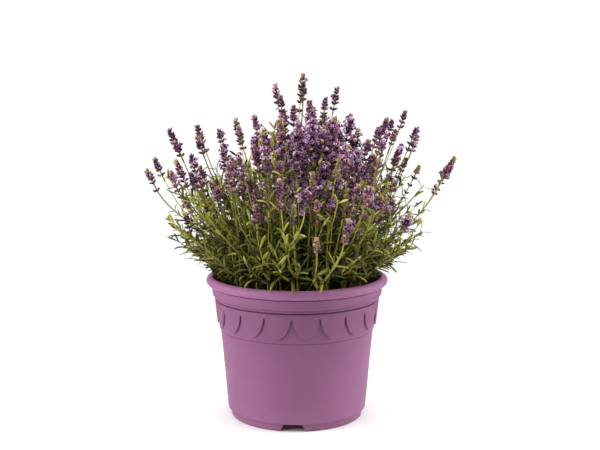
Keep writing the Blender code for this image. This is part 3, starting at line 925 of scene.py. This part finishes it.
def mapped_rows(profile, top_row):
    """Each row's share of the map's height: hidden stretches get a fifth of their length."""
    lengths = np.linalg.norm(np.diff(profile, axis=0), axis=1)
    rows = np.arange(len(lengths))
    seen = (rows >= UNDERSIDE_ROWS) & (rows < top_row + INNER_LIP_ROWS)
    weights = np.where(seen, lengths, lengths * 0.2) + 0.05 * MM
    total = np.concatenate([[0], np.cumsum(weights)])
    return 0.02 + 0.96 * total / total[-1]


def turned_object(name, rings, low_middle, high_middle, material, heights):
    """A closed turned mesh from its rings, which run from the underside's middle to the top's."""
    points = np.concatenate([[[0, 0, low_middle]], rings.reshape(-1, 3), [[0, 0, high_middle]]])
    (quads, quad_map), (caps, cap_map) = closed_faces(*rings.shape[:2], heights)
    places = np.concatenate([np.reshape(quad_map, (-1, 2)), np.reshape(cap_map, (-1, 2))])
    return mesh_object(name, points, quads + caps, [material], places)


def drill_drain_holes(pot):
    """Cuts the drain holes through the floor with one mesh of round cutters."""
    sides = 20
    points, faces = [], []
    for k in range(DRAIN_HOLES):
        middle = polar(math.tau * (k + 0.5) / DRAIN_HOLES, DRAIN_CIRCLE_RADIUS, 0)
        first = 2 * k * sides
        for height in (FLOOR_UNDERSIDE - 2 * MM, FLOOR_TOP + 2 * MM):
            points.append(middle + polar(np.arange(sides) * math.tau / sides, DRAIN_HOLE_RADIUS, height))
        faces += [range(first + sides - 1, first - 1, -1), range(first + sides, first + 2 * sides)]
        faces += ring_faces(first, (0, 1), sides, (0, 1))[0]
    cutter = mesh_object("drain_cutter", np.concatenate(points), faces, [])
    modifier = pot.modifiers.new("drain_holes", "BOOLEAN")
    modifier.operation = "DIFFERENCE"
    modifier.object = cutter
    graph = bpy.context.evaluated_depsgraph_get()
    pot.data = bpy.data.meshes.new_from_object(pot.evaluated_get(graph))
    pot.modifiers.clear()
    bpy.data.objects.remove(cutter)


# Soil


def make_soil():
    """Fills the pot to the soil's level. Its top is uneven, and lies a little higher in the middle."""
    rng = np.random.default_rng(11)
    wall = [(radius - WALL - GAP, height) for radius, height in POT_SIDE if height < SOIL_EDGE_HEIGHT]
    wall = [(wall[0][0] * share, FLOOR_TOP + GAP) for share in (0.5, 1)] + wall[1:]
    edge = wall[-1][0] - 0.5 * MM
    top = edge * (1 - np.arange(SOIL_RINGS) / SOIL_RINGS)
    radius = np.append([radius for radius, _ in wall], top)[:, None]
    azimuths = np.arange(SOIL_SEGMENTS)[None] * math.tau / SOIL_SEGMENTS
    x, y = radius * np.cos(azimuths), radius * np.sin(azimuths)
    rough = sum(np.sin(x * 70 * a + y * 70 * b + c * 9) for a, b, c in rng.normal(0, 1, (14, 3))) / 6
    inner = np.minimum(1, (edge - radius) / (6 * MM))
    z = soil_height(radius) + SOIL_ROUGHNESS * (rough - 0.4) * inner
    z[: len(wall)] = [[height] for _, height in wall]
    heights = np.append(np.linspace(0.02, 0.12, len(wall)), np.linspace(0.14, 0.98, SOIL_RINGS))
    middle = soil_height(0) - 0.5 * MM
    obj = turned_object("soil_bed", polar(azimuths, radius, z), FLOOR_TOP + GAP, middle, SOIL, heights)
    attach(obj, "root")
    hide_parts("soil")


def make_crumbs():
    """Loose crumbs of soil, and longer chips of bark, that lie on the bed."""
    rng = np.random.default_rng(12)
    growth = Growth("soil_crumbs", [SOIL, BARK])
    kinds = ((CRUMBS, SOIL, 2.6, 1.2), (BARK_CHIPS, BARK, 2.0, 3.6))
    for count, material, largest, stretch in kinds:
        radius = CRUMB_REACH * np.sqrt(rng.uniform(0, 1, count))
        turn = rng.uniform(0, math.tau, count)
        size = rng.uniform(1.0, largest, count) * MM
        centre = polar(turn, radius, soil_height(radius) + size * 0.35)
        axis = unit(rng.normal(0, 1, (count, 3)) * (1, 1, 0.35))
        long = axis * (size * stretch)[:, None]
        circle = circles(axis, UP, CRUMB_SIDES)
        rings = []
        for share in (-0.55, 0.1, 0.6):
            rough = rng.uniform(0.6, 1.1, (count, CRUMB_SIDES, 1)) * (1 - 0.3 * abs(share))
            rings.append((centre + long * share)[:, None] + circle * size[:, None, None] * rough)
        rings = np.stack(rings, axis=1)
        growth.tubes(rings, centre - long, centre + long, rng.uniform(0, 1, count), material)
    growth.build("potting_soil")


# Bush


def green_growth(name):
    return Growth(name, [STEM, LEAF])


def flower_growth(name):
    return Growth(name, [CALYX, PETAL, BRACT, STEM])


def sector(turn, count):
    """Which of count equal sectors round the pot this azimuth is in."""
    return int((turn % math.tau) / math.tau * count) % count


def grow_flower_stem(greens, rng, curve, thick, leaf_from, leaf_to, pairs, leaf_sizes, tufts, forked=False):
    """A stem with its leaves, thick times as thick as taper says. A forked one is as thick as its parent
    is at the fork. Those with few tufts are brighter."""
    tone = rng.uniform(0.15, 0.95) if tufts > 0.3 else rng.uniform(0.8, 1.0)
    grow_stem(greens, curve, 0.0, 1.0, 12, lambda t: taper(FORK_AT if forked else t) * thick, tone)
    stops = np.linspace(leaf_from, leaf_to, pairs) + rng.normal(0, 0.008, pairs)
    leafy_stem(greens, rng, curve, np.clip(stops, 0.01, 0.97), np.array(leaf_sizes) * MM, tufts)


def make_branches():
    """Each CAD branch and its two spikes, in full detail where the CAD has them."""
    for number, row in enumerate(BRANCHES):
        rng = np.random.default_rng(100 + number)
        first, second, feet, directions = branch_curves(*row)
        name = f"{number + 1:02d}"
        greens = green_growth(f"lavender_branch_{name}")
        leaf_to, pairs = (0.58, 8) if row[1] > FAR_REACH else (0.78, 10)
        grow_flower_stem(greens, rng, first, 1, 0.08, leaf_to, pairs, (28, 13), 0.55)
        grow_flower_stem(greens, rng, second, 1, 0.14, 0.6, 5, (23, 12), 0.4, forked=True)
        obj = greens.build("lavender_green")
        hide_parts(f"branch_{name}")
        spikes = zip("ab", (first, second), feet, directions, SPIKE_LENGTHS)
        for letter, curve, foot, direction, length in spikes:
            spike = flower_growth(f"lavender_spike_{name}{letter}")
            bloom = float(rng.choice([0.02, 0.04, 0.08, 0.2]))
            tone = rng.uniform(0.1, 0.5)
            grow_spike(spike, rng, curve, foot, direction, length, bloom, tone, rng.uniform(0.5, 0.72))
            obj = spike.build("lavender_flower")
            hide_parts(f"flower_spike_{name}{letter}")


def spike_centres():
    """The middles of the CAD model's spikes."""
    found = []
    for row in BRANCHES:
        _, _, feet, directions = branch_curves(*row)
        for foot, direction, length in zip(feet, directions, SPIKE_LENGTHS):
            found.append(foot + direction * length * 0.5)
    return found


def spiral(rng, count, least, most, high, low, jitter, start=0.0):
    """Places that fill a ring of the bush evenly, as (azimuth, reach, height, share of the way out)."""
    for k in range(count):
        reach = math.sqrt(least**2 + (most**2 - least**2) * (k + 0.5) / count)
        out = (reach - least) / (most - least)
        turn = start + k * GOLDEN_ANGLE + rng.normal(0, jitter)
        yield turn, reach * MM, (high + (low - high) * out) * MM, out


def extra_tips(rng):
    """Tops for the other flower spikes, each as (azimuth, reach, height, where in the bush it is)."""
    found = []
    for kind, (*spread, drop), centre, start in (
        ("crown", CROWN, CROWN_CENTRE, 2.0),
        ("bouquet", BOUQUET, BOUQUET_CENTRE, 1.0),
        ("ring", RING, (0, 0), 0.4),
    ):
        for turn, reach, height, _ in spiral(rng, *spread, 0.1, start):
            place = polar(turn, reach, height - drop * rng.uniform(0, 1) ** 1.5 * MM)
            place[:2] += np.array(centre) * MM
            found.append((math.atan2(place[1], place[0]), math.hypot(place[0], place[1]), place[2], kind))
    for azimuth, reach, height, kind in SIDE_STEMS:
        found.append((math.radians(azimuth), reach * MM, height * MM, kind))
    for k in range(FRONT_STEMS):
        turn = math.radians(-150 + 120 * (k + 0.5) / FRONT_STEMS + rng.normal(0, 3))
        found.append((turn, rng.uniform(84, 128) * MM, rng.uniform(280, 345) * MM, "front"))
    return found


def rooted(point):
    """The place in the soil under a point, well inside the pot's wall."""
    reach = math.hypot(point[0], point[1])
    place = point * min(1, MOST_ROOT_REACH / reach)
    place[2] = soil_height(min(reach, MOST_ROOT_REACH)) - ROOT_DEPTH
    return place


def roomy_spike(rng, turn, reach, height, length, taken):
    """The tip, direction and middle of a spike near this place, well away from those that are there."""
    best = None
    for attempt in range(SPIKE_ATTEMPTS):
        shift = rng.normal(0, 0.16) if attempt else 0.0
        pull = rng.normal(0, 7) * MM if attempt else 0.0
        tip = polar(turn + shift, max(reach + pull, 6 * MM), height + pull)
        direction = unit(spike_direction(tip) + rng.normal(0, 0.07, 3))
        centre = tip - direction * length * 0.5
        room = min(np.linalg.norm(centre - other) for other in taken)
        if best is None or room > best[0]:
            best = (room, tip, direction, centre)
        if room > SPIKE_CLEARANCE:
            break
    return best[1:]


def make_extra_stems():
    """The flower stems that the CAD model leaves out, gathered by sectors of the bush."""
    rng = np.random.default_rng(300)
    taken = spike_centres()
    greens = [green_growth(f"more_stems_{k + 1}") for k in range(STEM_GROUPS)]
    flowers = [flower_growth(f"more_spikes_{k + 1}") for k in range(STEM_GROUPS)]
    for turn, reach, height, name in extra_tips(rng):
        kind = KINDS[name]
        length = rng.uniform(*kind["length"]) * MM
        tip, direction, centre = roomy_spike(rng, turn, reach, height, length, taken)
        taken.append(centre)
        group = sector(math.atan2(tip[1], tip[0]), STEM_GROUPS)
        foot = tip - direction * length
        root = rooted(tip * rng.uniform(*kind["root"]) + polar(rng.uniform(0, math.tau), 7 * MM, 0))
        rise = (foot - root) * (0, 0, 1)
        out = (foot - root) * (1, 1, 0)
        start_way = unit(out * rng.uniform(0.5, 1.1) + rise + rng.normal(0, 0.012, 3))
        curve = stem_curve(root, start_way, foot, direction, rng.uniform(0.3, 0.4))
        thick = rng.uniform(0.85, 1.15)
        pairs = int(rng.integers(*kind["pairs"]))
        leaf_from, leaf_to = rng.uniform(0.06, 0.12), rng.uniform(0.62, 0.8)
        sizes = rng.uniform(24, 31), rng.uniform(11, 17)
        grow_flower_stem(greens[group], rng, curve, thick, leaf_from, leaf_to, pairs, sizes, kind["tufts"])
        bloom = float(rng.choice(kind["blooms"]))
        green = rng.uniform() < kind["green"]
        head = rng.uniform(*kind["head"])
        fullness = rng.uniform(*kind["fullness"]) * (GREEN_FULLNESS if green else 1.0)
        tone = rng.uniform(0.1, 0.65)
        grow_spike(flowers[group], rng, curve, foot, direction, length, bloom, tone, head, fullness, green)
    for group in greens:
        group.build("lavender_green")
    for group in flowers:
        group.build("lavender_flower")


def grow_shoot(groups, rng, turn, tip, share, tall):
    """A leafy shoot from the soil to its tip. share is how far out it stands, from 0 to 1."""
    root = rooted(tip * rng.uniform(0.34, 0.56) + polar(rng.uniform(0, math.tau), 5 * MM, 0))
    out = outward_of(tip)
    lean = 0.15 + 0.45 * share if tall else 0.35 + 0.6 * share
    start_way = unit(out * 0.25 + UP + rng.normal(0, 0.12, 3))
    end_way = unit(out * lean + UP * 0.8 + rng.normal(0, 0.15, 3))
    curve = stem_curve(root, start_way, tip, end_way, 0.42)
    group = groups[sector(turn, SHOOT_GROUPS)]
    grow_stem(group, curve, 0.0, 1.0, 7, lambda t: (1.1 - 0.5 * t) * MM, rng.uniform(0, 0.8))
    pairs = max(5, int(np.linalg.norm(tip - root) / ((13 if tall else 9) * MM)))
    sizes = np.array([rng.uniform(23, 31), rng.uniform(12, 19)]) * MM
    leafy_stem(group, rng, curve, np.linspace(0.14, 0.98, pairs), sizes, 0.55)


def make_shoots():
    """Leafy shoots that fill the bush under its flowers and splay out over the rim."""
    rng = np.random.default_rng(500)
    groups = [green_growth(f"leafy_shoots_{k + 1}") for k in range(SHOOT_GROUPS)]
    over_rim, least_inside, least_over_rim = SHOOT_LEAST_HEIGHTS
    for tall, (*place, spread) in ((False, LOW_SHOOTS), (True, TALL_SHOOTS)):
        for turn, reach, height, share in spiral(rng, *place, 0.08, 1.0 if tall else 0.0):
            tip = polar(turn, reach, height + rng.normal(0, spread) * MM)
            open_reach, open_share = FRONT_OPENING if -math.sin(turn) > FRONT_FACING else OPENING
            if rng.uniform() < open_share and reach > open_reach:
                continue
            tip[2] = max(tip[2], least_over_rim if reach > over_rim else least_inside)
            grow_shoot(groups, rng, turn, tip, share, tall)
    for azimuth, reach, height in SIDE_SHOOTS:
        turn = math.radians(azimuth)
        grow_shoot(groups, rng, turn, polar(turn, reach * MM, height * MM), 1.0, False)
    for group in groups:
        group.build("lavender_green")


def make_rim_leaves():
    """Single leaves that droop over the rim, most of them at the front."""
    rng = np.random.default_rng(700)
    growth = Growth("rim_leaves", [LEAF])
    count = len(RIM_LEAF_TURNS)
    turns = np.radians(RIM_LEAF_TURNS) + rng.normal(0, 0.02, count)
    outs = polar(turns, 1, 0)
    bases = polar(turns, rng.uniform(88, 96, count) * MM, rng.uniform(185, 190, count) * MM)
    ways = unit(outs + UP * rng.uniform(0.35, 0.6, (count, 1)) + rng.normal(0, 0.22, (count, 3)) * (1, 1, 0))
    lengths = rng.uniform(27, 34, count) * MM
    widths = rng.uniform(1.7, 2.4, count) * MM
    bends = -rng.uniform(1.1, 1.5, count)
    ups = UP + rng.normal(0, 0.15, (count, 3))
    grow_leaves(growth, LEAF, bases, ways, ups, lengths, widths, bends, rng.uniform(0.3, 0.9, count))
    growth.build("lavender_green")


# Studio


def add_camera():
    camera = bpy.data.objects.new("camera", bpy.data.cameras.new("camera"))
    camera.location = CAMERA_PLACE
    camera.rotation_euler = (math.pi / 2 - CAMERA_PITCH, 0, -CAMERA_YAW)
    camera.data.lens = CAMERA_LENS
    camera.data.sensor_width = 36
    camera.data.clip_end = 50
    bpy.context.scene.collection.objects.link(camera)
    bpy.context.scene.camera = camera


def add_light(name, place, target, width, height, power):
    data = bpy.data.lights.new(name, "AREA")
    data.shape = "RECTANGLE"
    data.size = width
    data.size_y = height
    data.energy = power
    obj = bpy.data.objects.new(name, data)
    obj.location = place
    way = np.array(target) - np.array(place)
    level = math.hypot(way[0], way[1])
    obj.rotation_euler = (math.atan2(level, -way[2]), 0, math.atan2(way[1], way[0]) - math.pi / 2)
    bpy.context.scene.collection.objects.link(obj)


def add_studio():
    rim = polar(np.arange(FLOOR_SIDES) * math.tau / FLOOR_SIDES, FLOOR_RADIUS, 0)
    mesh_object("studio_floor", rim, [range(FLOOR_SIDES)], [floor_material()])
    add_light("soft_box_left", (-1.17, -0.44, 0.62), (0, 0, 0.2), 0.8, 1.0, 17.6)
    add_light("soft_box_right", (1.28, -0.06, 0.62), (0, 0, 0.2), 0.7, 1.0, 18)
    add_light("soft_box_back", (0, 1.6, 1.1), (0, 0, 0.3), 1.4, 1.0, 2)
    add_light("soft_box_top", (-0.1, -0.12, 1.6), (0, 0, 0.2), 0.4, 0.4, 9)
    world = bpy.data.worlds.new("studio")
    world.use_nodes = True
    made = Nodes(world.node_tree)
    way = made.add("ShaderNodeTexCoord").outputs["Generated"]
    sources = [(0, way), (1, (0, WORLD_BACK, WORLD_RISE))]
    slope = made.add("ShaderNodeVectorMath", sources, operation="DOT_PRODUCT").outputs["Value"]
    light = made.maths("MAXIMUM", made.maths("ADD", slope, WORLD_LEVEL), 0)
    seen = made.add("ShaderNodeLightPath").outputs["Is Camera Ray"]
    strength = made.add("ShaderNodeMix", [(0, seen), (2, light), (3, BACKGROUND_STRENGTH)]).outputs[0]
    background = world.node_tree.nodes["Background"].inputs
    background["Color"].default_value = (1, 1, 1, 1)
    world.node_tree.links.new(strength, background["Strength"])
    bpy.context.scene.world = world
    bpy.context.scene.view_settings.view_transform = "Standard"


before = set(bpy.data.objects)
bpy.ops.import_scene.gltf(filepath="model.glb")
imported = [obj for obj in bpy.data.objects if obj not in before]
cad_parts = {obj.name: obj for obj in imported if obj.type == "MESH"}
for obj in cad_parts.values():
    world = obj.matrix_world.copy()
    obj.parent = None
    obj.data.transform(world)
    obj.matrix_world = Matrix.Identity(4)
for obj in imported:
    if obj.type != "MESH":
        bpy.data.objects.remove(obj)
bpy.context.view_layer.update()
add_camera()
POT = pot_material()
SOIL = soil_material()
BARK = bark_material()
LEAF = leaf_material()
STEM = stem_material()
CALYX = calyx_material()
PETAL = petal_material()
BRACT = bract_material()
make_pot()
make_swags()
make_soil()
make_crumbs()
make_branches()
make_extra_stems()
make_shoots()
make_rim_leaves()
add_studio()
bpy.context.view_layer.update()
